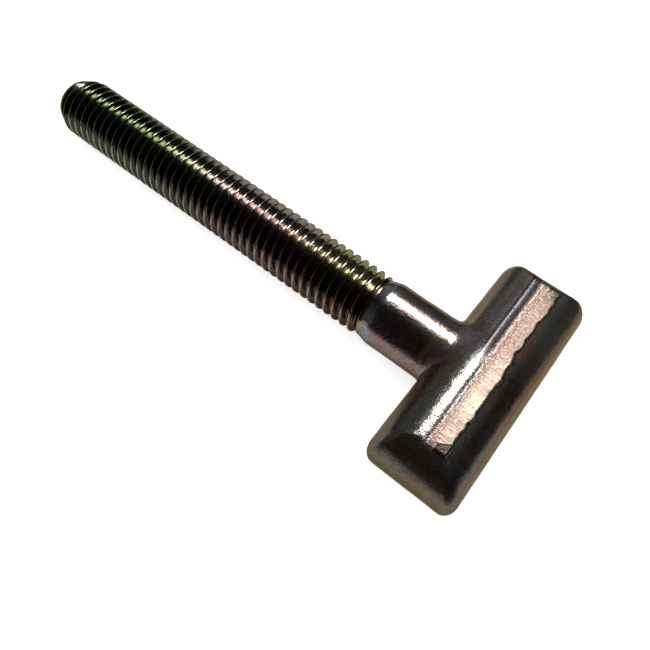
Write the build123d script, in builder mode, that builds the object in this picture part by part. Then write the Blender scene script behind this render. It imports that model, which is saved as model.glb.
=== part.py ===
# T slot bolt, forged in one piece: a round bar lies across the end of a long bolt.
# X runs along the shank towards the threaded tip, Y along the head, Z up.
# The origin is where the shank's axis crosses the head's axis.
from build123d import *
import os

# Head: a round bar across the shank, with domed ends
head_diameter = 16.0
head_length = 43.0
dome_height = 4.5
corner_radius = 2.0

# Trimmed flash: the seam that the two dies leave round the head, sheared off flat
flash_edge = 2.6
flash_trim = 0.05

# Shank and thread
bolt_length = 90.0
shank_diameter = 12.0
root_diameter = 12.4
root_length = 2.0
thread_diameter = 11.86
thread_length = 76.6
runout_length = 2.0
runout_diameter = 10.9
neck_fillet = 1.2

# Tip: the end of the thread tapers, and its edge is rounded off
tip_length = 3.4
tip_diameter = 8.8
tip_round = 0.6

head_radius = head_diameter / 2
half_length = head_length / 2
shank_radius = shank_diameter / 2
root_radius = root_diameter / 2
root_x = head_radius + root_length
thread_radius = thread_diameter / 2
runout_radius = runout_diameter / 2
tip_x = head_radius + bolt_length
taper_x = tip_x - tip_length
thread_x = tip_x - thread_length
shank_end_x = thread_x - runout_length

os.makedirs("parts", exist_ok=True)

with BuildPart() as t_bolt:
    # Bar across the shank
    with BuildSketch(Plane.XZ.offset(-half_length)):
        Circle(head_radius)
    extrude(amount=head_length)

    # Flash, sheared off flat just under the bar's own top and bottom
    with BuildSketch(Plane.XZ.offset(-half_length)):
        with Locations((-flash_edge / 2, 0)):
            Rectangle(flash_edge, head_diameter - 2 * flash_trim)
    extrude(amount=head_length)

    # Domed ends: the outline seen along the shank
    with BuildSketch(Plane.YZ.offset(-head_radius)):
        with BuildLine():
            right = ThreePointArc(
                (half_length - dome_height, -head_radius),
                (half_length, 0),
                (half_length - dome_height, head_radius),
            )
            left = ThreePointArc(
                (dome_height - half_length, head_radius),
                (-half_length, 0),
                (dome_height - half_length, -head_radius),
            )
            Line(right @ 1, left @ 0)
            Line(left @ 1, right @ 0)
        make_face()
    extrude(amount=head_diameter, mode=Mode.INTERSECT)

    # Rounded corners: the outline seen from above
    with BuildSketch(Plane.XY.offset(-head_radius)):
        RectangleRounded(head_diameter, head_length, corner_radius)
    extrude(amount=head_diameter, mode=Mode.INTERSECT)

    # Swollen root, neck, run-out, thread and tapered tip, turned about the shank's axis
    with BuildSketch(Plane.XZ):
        with BuildLine():
            shank_side = Polyline(
                (0, 0),
                (0, root_radius),
                (root_x, shank_radius),
                (shank_end_x, shank_radius),
                (thread_x, runout_radius),
                (thread_x, thread_radius),
                (taper_x, thread_radius),
            )
            taper = Line(shank_side @ 1, (tip_x, tip_diameter / 2))
            Polyline(taper @ 1, (tip_x, 0), (0, 0))
        make_face()
    revolve(axis=Axis.X)

    # Fillet where the root runs into the bar
    fillet(t_bolt.edges(Select.LAST).filter_by(GeomType.BSPLINE), neck_fillet)

    # Rounded edge of the tip
    fillet(t_bolt.faces().sort_by(Axis.X)[-1].edges(), tip_round)

t_bolt.part.label = "t_bolt"
export_step(t_bolt.part, "parts/t_bolt.step")
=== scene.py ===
import bpy
import bmesh
import numpy as np
from math import pi, cos, sin, radians, hypot
from mathutils import Matrix, Vector, noise


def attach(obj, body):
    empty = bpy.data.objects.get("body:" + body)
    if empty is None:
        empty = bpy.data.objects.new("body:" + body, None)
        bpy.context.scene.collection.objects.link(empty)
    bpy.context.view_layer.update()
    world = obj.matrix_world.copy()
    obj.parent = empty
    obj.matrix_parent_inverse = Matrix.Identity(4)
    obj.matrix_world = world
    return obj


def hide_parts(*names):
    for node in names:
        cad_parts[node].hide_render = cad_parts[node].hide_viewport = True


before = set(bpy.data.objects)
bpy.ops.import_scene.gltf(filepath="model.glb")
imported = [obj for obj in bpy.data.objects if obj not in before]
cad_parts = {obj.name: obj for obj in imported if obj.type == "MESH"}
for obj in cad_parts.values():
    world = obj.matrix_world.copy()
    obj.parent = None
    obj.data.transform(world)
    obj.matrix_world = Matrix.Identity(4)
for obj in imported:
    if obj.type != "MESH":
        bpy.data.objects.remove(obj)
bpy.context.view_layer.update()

toMetres = 0.001  # shapes are worked out in millimetres and brought to metres at the end
cutWithin = 0.0001  # a cutting plane takes vertices this near as lying in it
rimWithin = 0.01


def easeStep(low, high, value):  # 0 below low, 1 above high
    part = np.clip((value - low) / (high - low), 0.0, 1.0)
    return part * part * (3.0 - 2.0 * part)


def softMax(first, second, width):  # the larger of two, rounded over where they meet
    overlap = np.maximum(width - np.abs(first - second), 0.0) / width
    return np.maximum(first, second) + overlap * overlap * width / 4.0


def softMin(first, second, width):
    return -softMax(-first, -second, width)


def grain(points, scale, offset=0.0):  # smooth noise, one value for each point
    shift = Vector((offset, offset * 0.7, offset * 1.3))
    return np.array([noise.noise(Vector(p) / scale + shift, noise_basis="PERLIN_NEW") for p in points])


def vertexArray(bm):
    return np.array([v.co[:] for v in bm.verts])


def moveVertices(bm, places):
    for v, place in zip(bm.verts, places):
        v.co = place


def allOf(bm):
    return bm.verts[:] + bm.edges[:] + bm.faces[:]


def onlyOf(kind, geometry):
    return [g for g in geometry if isinstance(g, kind)]


def cutAcross(bm, x, keepBelow):  # trims everything past one plane across the shank
    bmesh.ops.bisect_plane(bm, geom=allOf(bm), dist=cutWithin, plane_co=(x, 0, 0), plane_no=(1, 0, 0),
                           clear_outer=keepBelow, clear_inner=not keepBelow)


def rimAt(bm, x):  # open edges that lie in the plane at x
    return [e for e in bm.edges if e.is_boundary and all(abs(v.co.x - x) < rimWithin for v in e.verts)]


def growRim(bm, rim):  # adds a strip of faces to open edges, and gives its new vertices and edges
    fresh = bmesh.ops.extrude_edge_only(bm, edges=rim)["geom"]
    return onlyOf(bmesh.types.BMVert, fresh), onlyOf(bmesh.types.BMEdge, fresh)


def paintLayers(bm):  # height in the thread, and how far the metal is sheared flat
    return bm.verts.layers.float.new("height"), bm.verts.layers.float.new("sheared")


def newObject(name, mesh, material):
    mesh.materials.append(material)
    mesh.polygons.foreach_set("use_smooth", [True] * len(mesh.polygons))
    thing = bpy.data.objects.new(name, mesh)
    bpy.context.scene.collection.objects.link(thing)
    return thing


def combine(kind, first, second=0.0):  # one Math node on sockets or plain numbers
    tree = (second if isinstance(first, float) else first).id_data
    node = tree.nodes.new("ShaderNodeMath")
    node.operation = kind
    for socket, value in zip(node.inputs, (first, second)):
        if isinstance(value, float):
            socket.default_value = value
        else:
            tree.links.new(value, socket)
    return node.outputs[0]


def plus(first, second):
    return combine("ADD", first, second)


def less(first, second):
    return combine("SUBTRACT", first, second)


def times(first, second):
    return combine("MULTIPLY", first, second)


def larger(first, second):
    return combine("MAXIMUM", first, second)


def awayFrom(value, middle):
    return combine("ABSOLUTE", less(value, middle))


def ramp(value, low, high, start=0.0, end=1.0):  # eased from start at low to end at high
    tree = value.id_data
    node = tree.nodes.new("ShaderNodeMapRange")
    node.interpolation_type = "SMOOTHSTEP"
    node.inputs["From Min"].default_value, node.inputs["From Max"].default_value = low, high
    node.inputs["To Min"].default_value, node.inputs["To Max"].default_value = start, end
    tree.links.new(value, node.inputs["Value"])
    return node.outputs[0]


def speckle(place, size, detail=3.0, pull=None):  # noise whose lumps are about this many millimetres across
    tree = place.id_data
    noiseNode = tree.nodes.new("ShaderNodeTexNoise")
    noiseNode.inputs["Scale"].default_value = 1.0 / (size * toMetres)
    noiseNode.inputs["Detail"].default_value = detail
    if pull:
        mapping = tree.nodes.new("ShaderNodeMapping")
        mapping.inputs["Scale"].default_value = pull
        tree.links.new(place, mapping.inputs["Vector"])
        place = mapping.outputs[0]
    tree.links.new(place, noiseNode.inputs["Vector"])
    return noiseNode.outputs["Fac"]


def mixColour(share, under, over):  # colours are plain or sockets
    tree = share.id_data
    node = tree.nodes.new("ShaderNodeMix")
    node.data_type = "RGBA"
    for name, value in (("Factor_Float", share), ("A_Color", under), ("B_Color", over)):
        socket = next(i for i in node.inputs if i.identifier == name)
        if isinstance(value, tuple):
            socket.default_value = (*value, 1)
        else:
            tree.links.new(value, socket)
    return next(o for o in node.outputs if o.identifier == "Result_Color")


def raised(height, distance, below=None):  # bump, on top of what is below
    tree = height.id_data
    node = tree.nodes.new("ShaderNodeBump")
    node.inputs["Distance"].default_value = distance * toMetres
    tree.links.new(height, node.inputs["Height"])
    if below:
        tree.links.new(below, node.inputs["Normal"])
    return node.outputs[0]


def painted(tree, name):  # a value kept at each vertex
    node = tree.nodes.new("ShaderNodeAttribute")
    node.attribute_name = name
    return node.outputs["Fac"]


def axesOf(tree, socketName):
    split = tree.nodes.new("ShaderNodeSeparateXYZ")
    tree.links.new(tree.nodes.new("ShaderNodeTexCoord").outputs[socketName], split.inputs[0])
    return split.outputs


# thread, rolled: one turn is spun with a lead, then copied along the shank
threadShape = {
    "pitch": 1.75,
    "crest": 5.93,
    "halfProfile": [(0.0, 5.93), (0.09, 5.928), (0.13, 5.905), (0.18, 5.83),
                    (0.64, 5.035), (0.71, 4.935), (0.78, 4.90), (0.875, 4.895)],
    "stepsPerTurn": 60,
    "turns": 48,
    "mergeWithin": 0.004,
    "firstCrest": 14.7,
    "neckCut": 18.4,
    "neckRadius": 6.0,
    "runoutStart": 19.4,
    "runoutEnd": 21.4,
    "blankRadius": 5.45,
    "threadEarly": 0.7,  # the crests start to rise this far before the run-out ends
    "threadFull": 22.9,
    "taperStart": 94.6,
    "taperRound": 0.12,
    "tipEnd": 98.0,
    "tipRadius": 4.4,
    "endStep": 0.12,  # from the cut to the first ring
    "endRings": [(97.55, 4.50), (97.76, 4.36), (97.90, 4.16), (97.98, 3.92),
                 (98.0, 3.65), (97.97, 2.4), (97.90, 1.0)],
}


def makeThread(t):
    bm = bmesh.new()
    half = t["halfProfile"]
    outline = [(-along, radius) for along, radius in reversed(half)] + half[1:]
    corners = [bm.verts.new((t["firstCrest"] + along, 0.0, radius)) for along, radius in outline]
    for near, far in zip(corners, corners[1:]):
        bm.edges.new((near, far))
    lead = t["pitch"] / t["stepsPerTurn"]
    bmesh.ops.spin(bm, geom=bm.verts[:] + bm.edges[:], cent=(0, 0, 0), axis=(1, 0, 0), dvec=(lead, 0, 0),
                   angle=2 * pi, steps=t["stepsPerTurn"], use_merge=False)
    oneTurn = allOf(bm)
    for turn in range(1, t["turns"]):
        copied = bmesh.ops.duplicate(bm, geom=oneTurn)["geom"]
        bmesh.ops.translate(bm, vec=(turn * t["pitch"], 0, 0), verts=onlyOf(bmesh.types.BMVert, copied))
    bmesh.ops.remove_doubles(bm, verts=bm.verts[:], dist=t["mergeWithin"])
    endCut = t["endRings"][0][0] - t["endStep"]
    cutAcross(bm, t["neckCut"], keepBelow=False)
    cutAcross(bm, endCut, keepBelow=True)

    places = vertexArray(bm)
    x = places[:, 0]
    radius = np.hypot(places[:, 1], places[:, 2])
    runout = np.interp(x, [t["runoutStart"], t["runoutEnd"]], [t["neckRadius"], t["blankRadius"]])
    grown = easeStep(t["runoutEnd"] - t["threadEarly"], t["threadFull"], x)
    shaped = runout + (radius - t["blankRadius"]) * grown
    slope = (t["crest"] - t["tipRadius"]) / (t["tipEnd"] - t["taperStart"])
    shaped = softMin(shaped, t["crest"] - (x - t["taperStart"]) * slope, t["taperRound"])
    places[:, 1:] *= (shaped / radius)[:, None]
    moveVertices(bm, places)
    height = paintLayers(bm)[0]  # 0 in the thread's root and 1 on its crest
    root = half[-1][1]
    heights = np.clip((shaped - root) / (t["crest"] - root), 0.0, 1.0)
    for v, value, share in zip(bm.verts, heights, grown):
        v[height] = value * share + 1.0 - share

    rim = rimAt(bm, endCut)
    for ringX, ringRadius in t["endRings"]:  # rounds the edge of the end face
        ring, rim = growRim(bm, rim)
        for v in ring:
            now = hypot(v.co.y, v.co.z)
            v.co = (ringX, v.co.y * ringRadius / now, v.co.z * ringRadius / now)
    bmesh.ops.edgeloop_fill(bm, edges=rim)
    print("thread:", len(bm.faces), "faces")
    return bm


# head and neck, forged: plain stock is fused, then every vertex is seated on the forging's form
headShape = {
    "barRadius": 8.0,
    "halfLength": 21.5,
    "domeHeight": 4.5,
    "stockSides": 128,
    "domeCuts": (-55, 56, 10),  # leans in degrees: the first, one past the last, and the step
    "meshSize": 0.24,
    "smoothRounds": 3,
    "seatRounds": 4,
    "seatStep": 0.02,
    "leastSlope": 0.2,
    # side towards the neck: a ridge, with a soft trough at one end of the bar and a sharp groove at the other
    "ridgePlace": 1.25,
    "ridgeTop": 7.97,
    "ridgeTurn": 3.0,
    "troughPlace": 0.72,
    "troughWidth": 0.4,
    "troughDepth": 0.09,
    "groovePlace": 1.45,
    "grooveDepth": 0.18,
    "grooveReach": 0.62,
    "grooveAbove": 4.0,
    # crease and corners where the domes meet the bar
    "creaseRound": 0.22,
    "cornerRound": 2.3,
    "cornerFrom": 0.45,
    # neck, and its swollen root
    "neckRadius": 6.0,
    "neckStock": (12.0, 20.0),  # middle and length
    "neckCut": 17.9,
    "rootSwell": 0.2,
    "rootEnd": 10.0,
    "neckBlend": 1.3,
    # sheared strip, with a torn edge on either side
    "flashLength": 36.0,
    "flashEdge": 2.6,
    "flashTop": 7.92,
    "flashInner": 0.25,
    "flashOverlap": 0.3,
    "flashBlend": 0.06,
    "flashRagged": 0.6,
    "innerShare": 0.2,
    "innerShift": 9.0,
    "tearWaves": [(0.7, 5.0, 5.0), (0.9, 1.7, 9.0), (0.4, 0.6, 2.0)],  # height, length and noise offset
    "tearSteps": 220,
    "notchPlace": 11.0,
    "notchWidth": 0.35,
    "notchDepth": 1.1,
    # dents and peel
    "dents": 0.045,
    "dentSize": 4.0,
    "dentRatio": 2.3,
    "fineDents": 0.5,
    "dentsDown": 0.75,  # sinks the dents, so that little of them stands above the form
    "peel": 0.010,
    "peelSize": 0.8,
    "peelLost": 0.6,  # where it was sheared flat
    "roughOffsets": (4.0, 7.0),  # in the noise, for the fine dents and the peel
    "flatHeight": (7.70, 7.82),
    "flatInner": (0.1, 0.5),
    "fadeLength": 1.5,
}


def tornLine(h):  # how far the sheared strip's edge wanders, along the bar
    along = np.linspace(-h["halfLength"], h["halfLength"], h["tearSteps"])
    line = [(0.0, a, 0.0) for a in along]
    wander = sum(height * grain(line, length, offset) for height, length, offset in h["tearWaves"])
    return along, wander - h["notchDepth"] * np.exp(-((along - h["notchPlace"]) / h["notchWidth"]) ** 2)


def domeRadiusOf(h):
    return (h["barRadius"] ** 2 + h["domeHeight"] ** 2) / (2 * h["domeHeight"])


def addRod(bm, h, radius, length, matrix):
    bmesh.ops.create_cone(bm, cap_ends=True, segments=h["stockSides"], radius1=radius, radius2=radius,
                          depth=length, matrix=matrix)


def fuseStock(h):  # overlapping closed shells, fused into one even skin
    bm = bmesh.new()
    addRod(bm, h, h["barRadius"], 2 * h["halfLength"], Matrix.Rotation(radians(90), 4, "X"))
    domeRadius = domeRadiusOf(h)
    for side in (1, -1):
        for lean in range(*h["domeCuts"]):
            away = Vector((0, side * cos(radians(lean)), sin(radians(lean))))
            middle = Vector((0, side * (h["halfLength"] - domeRadius), 0))
            bmesh.ops.bisect_plane(bm, geom=allOf(bm), dist=cutWithin, plane_co=middle + away * domeRadius,
                                   plane_no=away, clear_outer=True)
            bmesh.ops.holes_fill(bm, edges=[e for e in bm.edges if e.is_boundary])
    neckMiddle, neckLength = h["neckStock"]
    across = Matrix.Translation((neckMiddle, 0, 0)) @ Matrix.Rotation(radians(90), 4, "Y")
    addRod(bm, h, h["neckRadius"], neckLength, across)
    stripSize = Matrix.Diagonal((h["flashEdge"], h["flashLength"], 2 * h["flashTop"], 1))
    bmesh.ops.create_cube(bm, size=1.0, matrix=Matrix.Translation((-h["flashEdge"] / 2, 0, 0)) @ stripSize)
    stock = bpy.data.meshes.new("stock")
    bm.to_mesh(stock)
    bm.free()
    holder = bpy.data.objects.new("stock", stock)
    bpy.context.scene.collection.objects.link(holder)
    even = holder.modifiers.new("even", "REMESH")
    even.mode = "VOXEL"
    even.voxel_size = h["meshSize"]
    fused = bpy.data.meshes.new_from_object(holder.evaluated_get(bpy.context.evaluated_depsgraph_get()))
    bpy.data.objects.remove(holder)
    bpy.data.meshes.remove(stock)
    bm = bmesh.new()
    bm.from_mesh(fused)
    bpy.data.meshes.remove(fused)
    return bm


def headForm(places, h, torn):  # below 0 inside the forging, 0 on its skin
    x, y, z = places.T
    domeRadius = domeRadiusOf(h)
    dome = np.hypot(np.maximum(np.abs(y) - (h["halfLength"] - domeRadius), 0.0), z) - domeRadius
    near = easeStep(-h["ridgeTurn"], h["ridgeTurn"], y)  # 1 at the end with the broad ridge
    ridge = h["ridgePlace"] * near
    reach = h["barRadius"] - ridge
    side = (np.hypot(np.maximum(x - ridge, 0.0) / reach, z / h["ridgeTop"]) - 1.0) * reach
    soft = h["troughDepth"] * np.exp(-((x - h["troughPlace"]) / h["troughWidth"]) ** 2 * 2.0)
    crisp = h["grooveDepth"] * np.clip(1.0 - np.abs(x - h["groovePlace"]) / h["grooveReach"], 0.0, 1.0)
    side = side + (soft * near + crisp * (1.0 - near)) * (np.abs(z) > h["grooveAbove"])
    bar = np.where(x > 0.0, side, np.hypot(x, z) - h["barRadius"])
    inner = h["flashInner"] + h["flashRagged"] * h["innerShare"] * np.interp(y + h["innerShift"], *torn)
    bar = np.where(x < inner, np.maximum(bar, np.abs(z) - h["flashTop"]), bar)
    outer = h["flashEdge"] + h["flashRagged"] * np.interp(y, *torn)
    flash = np.maximum(np.abs(z) - h["flashTop"], np.maximum(-x - outer, x - inner))
    joined = softMin(bar, flash, h["flashBlend"])
    bar = np.where(x > h["flashOverlap"] - outer, np.minimum(bar, flash), joined)
    atCorner = easeStep(h["cornerFrom"], 1.0, np.abs(x) / h["barRadius"])
    head = softMax(bar, dome, h["creaseRound"] + (h["cornerRound"] - h["creaseRound"]) * atCorner)
    swell = h["rootSwell"] * np.clip(1.0 - x / h["rootEnd"], 0.0, 1.0)
    neck = np.maximum(np.hypot(y, z) - h["neckRadius"] - swell, -x)
    return softMin(head, neck, h["neckBlend"])


def seatOnForm(places, h):  # steps each vertex along the form's slope until it sits on the skin
    torn = tornLine(h)
    moves = np.eye(3) * h["seatStep"]
    for _ in range(h["seatRounds"]):
        value = headForm(places, h, torn)
        slope = np.stack([headForm(places + move, h, torn) - value for move in moves], axis=1) / h["seatStep"]
        steepness = np.maximum((slope ** 2).sum(axis=1), h["leastSlope"])
        places = places - slope * (value / steepness)[:, None]
    return places


def roughenForging(bm, h):  # shallow dents and peel, left out where it was sheared flat
    bm.normal_update()
    places = vertexArray(bm)
    outward = np.array([v.normal[:] for v in bm.verts])
    x, z = places[:, 0], places[:, 2]
    fineOffset, peelOffset = h["roughOffsets"]
    fineDents = grain(places, h["dentSize"] / h["dentRatio"], fineOffset) * h["dents"] * h["fineDents"]
    dents = grain(places, h["dentSize"]) * h["dents"] + fineDents
    peel = grain(places, h["peelSize"], peelOffset) * h["peel"]
    flat = easeStep(*h["flatHeight"], np.abs(z)) * (1.0 - easeStep(*h["flatInner"], x))
    fade = easeStep(h["neckCut"], h["neckCut"] - h["fadeLength"], x)
    dentsIn = (dents - h["dents"] * h["dentsDown"]) * fade * (1.0 - flat)
    amount = dentsIn + peel * (1.0 - h["peelLost"] * flat)
    moveVertices(bm, places + outward * np.minimum(amount, 0.0)[:, None])
    height, sheared = paintLayers(bm)
    for v, value in zip(bm.verts, flat):
        v[height] = 1.0
        v[sheared] = value


def makeHead(h):
    bm = fuseStock(h)
    print("stock fused:", len(bm.faces), "faces")
    cutAcross(bm, h["neckCut"], keepBelow=True)
    rim = {v.index for e in rimAt(bm, h["neckCut"]) for v in e.verts}
    for _ in range(h["smoothRounds"]):
        bmesh.ops.smooth_vert(bm, verts=[v for v in bm.verts if v.index not in rim], factor=0.5,
                              use_axis_x=True, use_axis_y=True, use_axis_z=True)
    seated = seatOnForm(vertexArray(bm), h)
    onRim = np.array([v.index in rim for v in bm.verts])
    seated[onRim, 0] = h["neckCut"]
    moveVertices(bm, seated)
    roughenForging(bm, h)
    print("head:", len(bm.faces), "faces")
    return bm


def joinSkins(head, shank, h, t):  # closes the neck between the two with a ring of faces
    spare = bpy.data.meshes.new("spare")
    shank.to_mesh(spare)
    shank.free()
    head.from_mesh(spare)
    bpy.data.meshes.remove(spare)
    bmesh.ops.bridge_loops(head, edges=rimAt(head, h["neckCut"]) + rimAt(head, t["neckCut"]))
    bmesh.ops.recalc_face_normals(head, faces=head.faces[:])
    return head


def finishBolt(bm, name, material):
    bmesh.ops.scale(bm, vec=(toMetres, toMetres, toMetres), verts=bm.verts[:])
    mesh = bpy.data.meshes.new(name)
    bm.to_mesh(mesh)
    bm.free()
    return newObject(name, mesh, material)


zincLook = {
    # forged head and neck
    "pinkBrown": (0.44, 0.31, 0.265),
    "grey": (0.38, 0.345, 0.345),
    "yellowGreen": (0.40, 0.385, 0.26),
    "mint": (0.30, 0.42, 0.38),
    "rust": (0.38, 0.20, 0.16),
    "neckPink": (0.47, 0.335, 0.30),
    "neckShare": 0.7,
    # painted shade on the near dome, dimming the floor's reflection there, with a reddish-brown tint
    "domeShadeBrown": (0.27, 0.20, 0.155),
    # bluish tint with a painted bluish-white highlight at the thread's run-out
    "runoutTintAndHighlight": (0.46, 0.50, 0.56),
    # painted shade beside the ridge line on the far half of the bar, dimming the lamp's highlight there
    "ridgeShadeFar": (0.05, 0.043, 0.06),
    "ridgeLine": 1.9,
    "redWander": 3.0,
    # thread
    "neckYellow": (0.50, 0.45, 0.31),
    "middlePink": (0.48, 0.39, 0.36),
    "tipGreen": (0.38, 0.43, 0.29),
    "tintWander": 12.0,
    # painted shade in the thread's valleys near the tip, dimming their highlights
    "shadedValleyTip": (0.20, 0.25, 0.15),
    # painted highlight on the thread's crests near the tip
    "crestTipHighlight": (0.62, 0.62, 0.50),
    # painted shade for the flanks and roots on the thread's near side, pink in the middle and darker toward
    # the tip
    "flankShadePink": (0.20, 0.125, 0.11),
    "flankShadeTip": (0.09, 0.085, 0.055),
    # sheared strip
    "shearedCream": (0.64, 0.54, 0.41),
    "shearedPink": (0.54, 0.37, 0.31),
    # painted highlight, in patches, over the middle of the strip's near half
    "shearedHighlight": (0.68, 0.60, 0.42),
    # painted shade, pinker, over the strip's far half
    "shearedFarShade": (0.33, 0.245, 0.20),
    "mottle": (0.10, 0.105, 0.06),
    # painted shade past the strip's near end, where it runs onto the dark dome
    "stripEndShade": (0.13, 0.10, 0.08),
    "endSlant": 0.6,
    "tearShare": 0.5,
    # scale pits and torn edge beside the strip
    "scaleDark": (0.07, 0.055, 0.045),
    "black": (0.0, 0.0, 0.0),
    "tornShift": 0.5,
    "tornPink": 0.7,
    "tornPits": 0.5,
    "pitsElsewhere": 0.06,
    "burrWander": 0.5,
    "burrDark": 0.35,
    # lumps of each noise in millimetres across, and how two of them are stretched
    "patchSize": 7.0,
    "cloudSize": 2.2,
    "fineSize": 0.30,
    "streakSize": 1.6,
    "streakPull": (1.0, 0.10, 1.0),
    "rippleSize": 1.0,
    "ripplePull": (0.25, 2.6, 0.25),
    "mottleSize": 0.8,
    "tearSize": 0.5,
    "pitSize": 0.28,
    # sheen and relief
    "edgeTint": (0.58, 0.55, 0.37),
    "pitRough": 0.10,
    "ridgeRough": 0.14,
    "threadRough": -0.05,
    "tornRough": 0.20,
    "threadGrain": 0.3,
    "grainDepth": 0.036,
    "rippleDepth": 0.08,
    "pitDepth": 0.03,
    # where each noise or painted value takes hold: from, to, and, if not 0 and 1, what it gives there
    "levels": {
        "grey": (0.38, 0.55),
        "yellowGreen": (0.45, 0.65, 0.0, 0.6),
        "rust": (0.52, 0.64, 0.0, 0.45),
        "mint": (0.46, 0.34, 0.0, 0.45),
        "shadedHollow": (0.96, 0.86),
        "shadedValley": (0.80, 0.50),
        "crest": (0.92, 0.98),
        "cream": (0.44, 0.58),
        "bright": (0.30, 0.42),
        "mottle": (0.60, 0.46),
        "sheared": (0.66, 0.86),
        "pits": (0.47, 0.60),
        "dull": (0.62, 0.42, 0.0, 0.4),
        "rough": (0.3, 0.7, 0.15, 0.25),
    },
    # the same for places, in millimetres
    "zones": {
        "bar": (8.5, 6.5),
        "plainBar": (19.5, 17.5),
        "nearDome": (16.5, 19.5, 0.0, 0.7),
        "farHalf": (4.0, -3.0),
        "ridgeInner": (0.10, 0.30, 0.72, 1.0),
        "ridgeOuter": (1.0, 0.6),
        "ridgeTop": (6.8, 7.2),
        "thread": (19.5, 21.5),
        "threadMiddle": (24.0, 44.0),
        "threadTip": (56.0, 74.0),
        "tipShadeAndHighlight": (55.0, 80.0),
        "shadedSide": (0.5, 4.0),
        "flankFar": (35.0, 75.0),
        "stripFarShade": (4.0, -4.0, 0.0, 0.85),
        "stripMottled": (-12.0, -16.5),
        "stripEndShade": (16.3, 16.7),
        "stripTop": (7.4, 7.7),
        "tornInner": (0.6, 0.3),
        "tornOuter": (-0.8, -0.5),
        "pitsTop": (6.8, 7.3),
        "pitsInner": (1.5, 1.1),
        "pitsOuter": (0.0, 0.6),
        "pitsNear": (12.0, 0.0, 0.45, 0.8),
        "scaleFar": (2.0, -10.0, 0.965, 0.90),
        "neck": (7.0, 10.0),
    },
    # bands, in millimetres: middle and half width
    "bands": {
        "runout": (19.6, 1.6),
        "redLine": (3.8, 1.0),
        "stripHighlight": (7.5, 2.8),
        "burr": (0.1, 0.2),
    },
}


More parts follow.
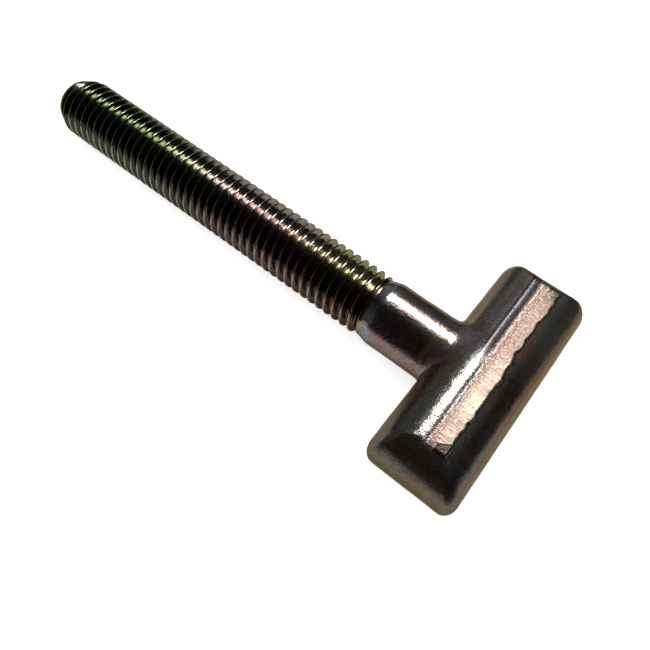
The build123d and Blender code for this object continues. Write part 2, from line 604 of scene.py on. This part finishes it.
def zincPlate(look):
    material = bpy.data.materials.new("zincPlate")
    material.use_nodes = True
    tree = material.node_tree
    links = tree.links
    shader = tree.nodes["Principled BSDF"]
    shader.inputs["Specular Tint"].default_value = (*look["edgeTint"], 1)
    place = tree.nodes.new("ShaderNodeTexCoord").outputs["Object"]
    along, across, up = axesOf(tree, "Object")

    def level(value, name):
        return ramp(value, *look["levels"][name])

    def zone(value, name):
        low, high, *gives = look["zones"][name]
        return ramp(value, low * toMetres, high * toMetres, *gives)

    def band(value, name):  # 1 in its middle, 0 further away than its half width
        middle, half = look["bands"][name]
        return ramp(awayFrom(value, middle * toMetres), half * toMetres, 0.0)

    def wander(value, distance):  # noise turned into a shift either way
        return times(less(value, 0.5), distance * toMetres)

    patches = speckle(place, look["patchSize"], 2.0)
    clouds = speckle(place, look["cloudSize"])
    fine = speckle(place, look["fineSize"])
    streaks = speckle(place, look["streakSize"], pull=look["streakPull"])
    ripples = speckle(place, look["rippleSize"], pull=look["ripplePull"])
    height, flat = painted(tree, "height"), painted(tree, "sheared")
    farHalf = zone(across, "farHalf")

    # forged head and neck: passivation tints, streaked along the bar, with painted shade on the near dome and
    # beside the far ridge line, and a bluish tint with a painted highlight at the run-out
    colour = mixColour(level(patches, "grey"), look["pinkBrown"], look["grey"])
    colour = mixColour(level(clouds, "yellowGreen"), colour, look["yellowGreen"])
    onBar = zone(along, "bar")
    colour = mixColour(times(level(streaks, "rust"), onBar), colour, look["rust"])
    colour = mixColour(times(level(streaks, "mint"), onBar), colour, look["mint"])
    colour = mixColour(times(less(1.0, onBar), look["neckShare"]), colour, look["neckPink"])
    # painted shade over the near dome, with a reddish-brown tint
    colour = mixColour(zone(across, "nearDome"), colour, look["domeShadeBrown"])
    # bluish tint and painted bluish-white highlight at the run-out
    colour = mixColour(band(along, "runout"), colour, look["runoutTintAndHighlight"])
    off = awayFrom(along, look["ridgeLine"] * toMetres)
    besideLine = times(zone(off, "ridgeInner"), zone(off, "ridgeOuter"))  # painted shade either side of the ridge's bright line on the far half, dimming the lamp's highlight there
    ridge = times(besideLine, times(zone(up, "ridgeTop"), farHalf))
    colour = mixColour(ridge, colour, look["ridgeShadeFar"])
    redLine = band(plus(up, wander(streaks, look["redWander"])), "redLine")
    onPlainBar = times(onBar, zone(combine("ABSOLUTE", across), "plainBar"))
    colour = mixColour(times(redLine, onPlainBar), colour, look["rust"])

    # thread: yellow by the neck, pink in the middle and green at the tip, with painted shade in the valleys
    # and painted highlights on the crests near the tip, and painted shade on the flanks of its near side
    onThread = zone(along, "thread")
    shankPlace = plus(along, wander(patches, look["tintWander"]))
    threadColour = mixColour(zone(shankPlace, "threadMiddle"), look["neckYellow"], look["middlePink"])
    threadColour = mixColour(zone(shankPlace, "threadTip"), threadColour, look["tipGreen"])
    atTip = zone(along, "tipShadeAndHighlight")
    # painted shade in the valleys near the tip
    threadColour = mixColour(times(level(height, "shadedValley"), atTip), threadColour, look["shadedValleyTip"])
    # painted highlight on the crests near the tip
    threadColour = mixColour(times(level(height, "crest"), atTip), threadColour, look["crestTipHighlight"])
    flankShadeColour = mixColour(zone(along, "flankFar"), look["flankShadePink"], look["flankShadeTip"])
    shadedHollow = times(level(height, "shadedHollow"), zone(across, "shadedSide"))  # painted shade on the flanks and roots of the thread's near side, dimming the floor's reflection there
    threadColour = mixColour(shadedHollow, threadColour, flankShadeColour)
    colour = mixColour(onThread, colour, threadColour)

    # sheared strip: cream ripples with pink between, a painted highlight over its near half, painted shade
    # toward the far end and painted shade past its near end
    strip = mixColour(level(ripples, "cream"), look["shearedPink"], look["shearedCream"])
    # painted shade, pinker, over the strip's far half
    strip = mixColour(zone(across, "stripFarShade"), strip, look["shearedFarShade"])
    # painted highlight in patches over the strip's near half
    bright = times(band(across, "stripHighlight"), level(patches, "bright"))
    strip = mixColour(bright, strip, look["shearedHighlight"])
    mottled = times(zone(across, "stripMottled"), level(speckle(place, look["mottleSize"]), "mottle"))
    strip = mixColour(mottled, strip, look["mottle"])
    # painted shade past the strip's near end, along a slanted line
    shadedEnd = zone(less(across, times(along, look["endSlant"])), "stripEndShade")
    colour = mixColour(times(shadedEnd, flat), colour, look["stripEndShade"])
    sheared = level(plus(flat, times(speckle(place, look["tearSize"]), look["tearShare"])), "sheared")
    sheared = times(sheared, less(1.0, shadedEnd))
    colour = mixColour(sheared, colour, strip)

    # scale pits beside the strip
    inward = less(along, times(farHalf, look["tornShift"] * toMetres))  # torn further in at the far end
    onTop = zone(up, "stripTop")
    torn = times(times(onTop, zone(inward, "tornInner")), zone(along, "tornOuter"))
    colour = mixColour(times(torn, look["tornPink"]), colour, look["shearedPink"])
    pitted = times(times(zone(up, "pitsTop"), zone(inward, "pitsInner")), zone(inward, "pitsOuter"))
    pitShare = times(plus(pitted, times(torn, look["tornPits"])), zone(across, "pitsNear"))
    pits = times(level(speckle(place, look["pitSize"], 2.0), "pits"), plus(pitShare, look["pitsElsewhere"]))
    burr = times(band(plus(along, times(clouds, look["burrWander"] * toMetres)), "burr"), onTop)
    pits = larger(pits, times(burr, look["burrDark"]))
    colour = mixColour(pits, colour, look["scaleDark"])
    colour = mixColour(level(fine, "dull"), colour, look["black"])
    links.new(colour, shader.inputs["Base Color"])

    scale = zone(across, "scaleFar")  # a trace of dull scale on the head
    links.new(larger(scale, zone(along, "neck")), shader.inputs["Metallic"])
    pitRough = plus(times(pitted, look["pitRough"]), times(ridge, look["ridgeRough"]))
    roughness = plus(level(fine, "rough"), pitRough)
    roughness = plus(roughness, times(onThread, look["threadRough"]))
    roughness = plus(roughness, times(larger(sheared, torn), look["tornRough"]))
    links.new(roughness, shader.inputs["Roughness"])
    fineShare = ramp(onThread, 0.0, 1.0, 1.0, look["threadGrain"])
    normal = raised(times(ripples, sheared), look["rippleDepth"])
    normal = raised(times(fine, fineShare), look["grainDepth"], normal)
    normal = raised(pits, -look["pitDepth"], normal)
    links.new(normal, shader.inputs["Normal"])
    return material


boltSkin = joinSkins(makeHead(headShape), makeThread(threadShape), headShape, threadShape)
bolt = finishBolt(boltSkin, "tSlotBolt", zincPlate(zincLook))
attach(bolt, "root")
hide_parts("t_bolt")
print("bolt:", len(bolt.data.polygons), "faces")


# floor: leans a little, so that the head and the threaded end both rest on it
studio = {
    "floorHeight": -0.00801,
    "floorLean": 1.25,
    "floorSides": 96,
    "sweep": [(1.3, 0.0), (1.6, 0.03), (1.8, 0.12), (1.95, 0.3), (2.0, 0.6), (2.0, 1.2)],
    "floorWhite": 0.85,
    "floorRough": 0.9,
    "floorLift": 0.7,
    # in the metal, the pale sheet ends near the bolt, and paler ground shows again far to the east and south
    "sheetLift": 0.02,
    "sheetMiddle": 0.07,
    "sheetHalf": 0.075,
    "sheetFade": (0.03, 0.062, 0.80, 0.02),
    "groundEast": (0.15, 1.2, 0.0, 0.3),
    "groundSouth": (-0.9, -1.3),
    "southByEast": (-0.3, 1.3, 0.0, 0.9),
    # soft glow beside the lamp, long one way and narrow the other
    "sky": 0.013,
    "glow": 0.30,
    "glowNorth": -0.47,
    "glowNarrow": (0.42, 0.06),
    "glowWest": (-1.05, 0.12),
    "glowEast": (1.05, 0.25),
    # lamps
    "softboxWay": (0.21, -0.50, 0.84),
    "softboxDistance": 0.4,
    "softboxSize": (0.16, 0.10),
    "softboxGlow": 18.0,
    "panelHeight": 1.0,
    "panelSize": (1.6, 1.6),
    "panelGlow": 1.8,
}


def paleFloor(s):
    material = bpy.data.materials.new("paleFloor")
    material.use_nodes = True
    tree = material.node_tree
    links = tree.links
    shader = tree.nodes["Principled BSDF"]
    shader.inputs["Roughness"].default_value = s["floorRough"]
    shader.inputs["Specular IOR Level"].default_value = 0.0
    shader.inputs["Emission Color"].default_value = (1, 1, 1, 1)
    rays = tree.nodes.new("ShaderNodeLightPath").outputs
    along, across = axesOf(tree, "Object")[:2]
    past = larger(less(awayFrom(along, s["sheetMiddle"]), s["sheetHalf"]), 0.0)
    away = combine("SQRT", plus(times(past, past), times(across, across)))
    sheet = ramp(away, *s["sheetFade"])
    sheet = larger(sheet, ramp(along, *s["groundEast"]))
    sheet = larger(sheet, times(ramp(across, *s["groundSouth"]), ramp(along, *s["southByEast"])))
    kept = less(1.0, times(less(1.0, sheet), rays["Is Glossy Ray"]))
    links.new(times(kept, s["floorWhite"]), shader.inputs["Base Color"])
    lift = plus(times(rays["Is Camera Ray"], s["floorLift"]), times(rays["Is Glossy Ray"], s["sheetLift"]))
    links.new(times(kept, lift), shader.inputs["Emission Strength"])
    return material


def makeFloor(s):
    bm = bmesh.new()
    bmesh.ops.create_circle(bm, cap_ends=True, segments=s["floorSides"], radius=s["sweep"][0][0])
    rim = bm.edges[:]
    for radius, height in s["sweep"][1:]:  # the floor curves up into a backdrop
        ring, rim = growRim(bm, rim)
        for v in ring:
            v.co = (*(v.co.xy.normalized() * radius), height)
    bmesh.ops.recalc_face_normals(bm, faces=bm.faces[:])
    lean = Matrix.Translation((0, 0, s["floorHeight"])) @ Matrix.Rotation(-radians(s["floorLean"]), 4, "Y")
    bmesh.ops.transform(bm, matrix=lean, verts=bm.verts[:])
    mesh = bpy.data.meshes.new("floor")
    bm.to_mesh(mesh)
    bm.free()
    return newObject("floor", mesh, paleFloor(s))


def hangLamp(name, way, distance, size, glow):  # glow is how bright its face looks, where 1 is white
    data = bpy.data.lights.new(name, "AREA")
    data.shape = "RECTANGLE"
    data.size, data.size_y = size
    data.energy = glow * pi * size[0] * size[1]
    lamp = bpy.data.objects.new(name, data)
    bpy.context.scene.collection.objects.link(lamp)
    way = Vector(way).normalized()
    lamp.location = way * distance
    lamp.rotation_euler = way.to_track_quat("Z", "Y").to_euler()
    return lamp


def lightStudio(s):
    world = bpy.data.worlds.new("studio")
    bpy.context.scene.world = world
    world.use_nodes = True
    tree = world.node_tree
    ground = tree.nodes["Background"]
    east, north = axesOf(tree, "Generated")[:2]
    narrow = ramp(awayFrom(north, s["glowNorth"]), *s["glowNarrow"])
    wide = times(ramp(east, *s["glowWest"]), ramp(east, *s["glowEast"]))
    tree.links.new(plus(times(times(narrow, wide), s["glow"]), s["sky"]), ground.inputs["Strength"])
    ground.inputs["Color"].default_value = (1, 1, 1, 1)
    softbox = hangLamp("softbox", s["softboxWay"], s["softboxDistance"], s["softboxSize"], s["softboxGlow"])
    softbox.visible_diffuse = False  # is mirrored in the metal, and leaves the floor to the panel
    panel = hangLamp("panel", (0, 0, 1), s["panelHeight"], s["panelSize"], s["panelGlow"])
    panel.visible_glossy = False  # lights the floor, and isn't mirrored in the metal


cameraView = {
    "place": (-0.004755, 0.047808, 0.092900),
    "right": (-0.7900, -0.6103, 0.0592),
    "down": (-0.5462, 0.6567, -0.5200),
    "ahead": (0.2785, -0.4431, -0.8521),
    "sensor": 36.0,
    "lens": 34.73,
    "shift": (-0.0509, -0.0509),
    "clipStart": 0.005,
}


def setCamera(c):
    data = bpy.data.cameras.new("camera")
    data.sensor_width = c["sensor"]
    data.lens = c["lens"]
    data.shift_x, data.shift_y = c["shift"]
    data.clip_start = c["clipStart"]
    camera = bpy.data.objects.new("camera", data)
    bpy.context.scene.collection.objects.link(camera)
    axes = Matrix((c["right"], [-v for v in c["down"]], [-v for v in c["ahead"]])).transposed()
    camera.matrix_world = Matrix.Translation(c["place"]) @ axes.to_4x4()
    bpy.context.scene.camera = camera


makeFloor(studio)
lightStudio(studio)
setCamera(cameraView)
bpy.context.scene.view_settings.view_transform = "Standard"
print("studio: floor, lamps and camera set")
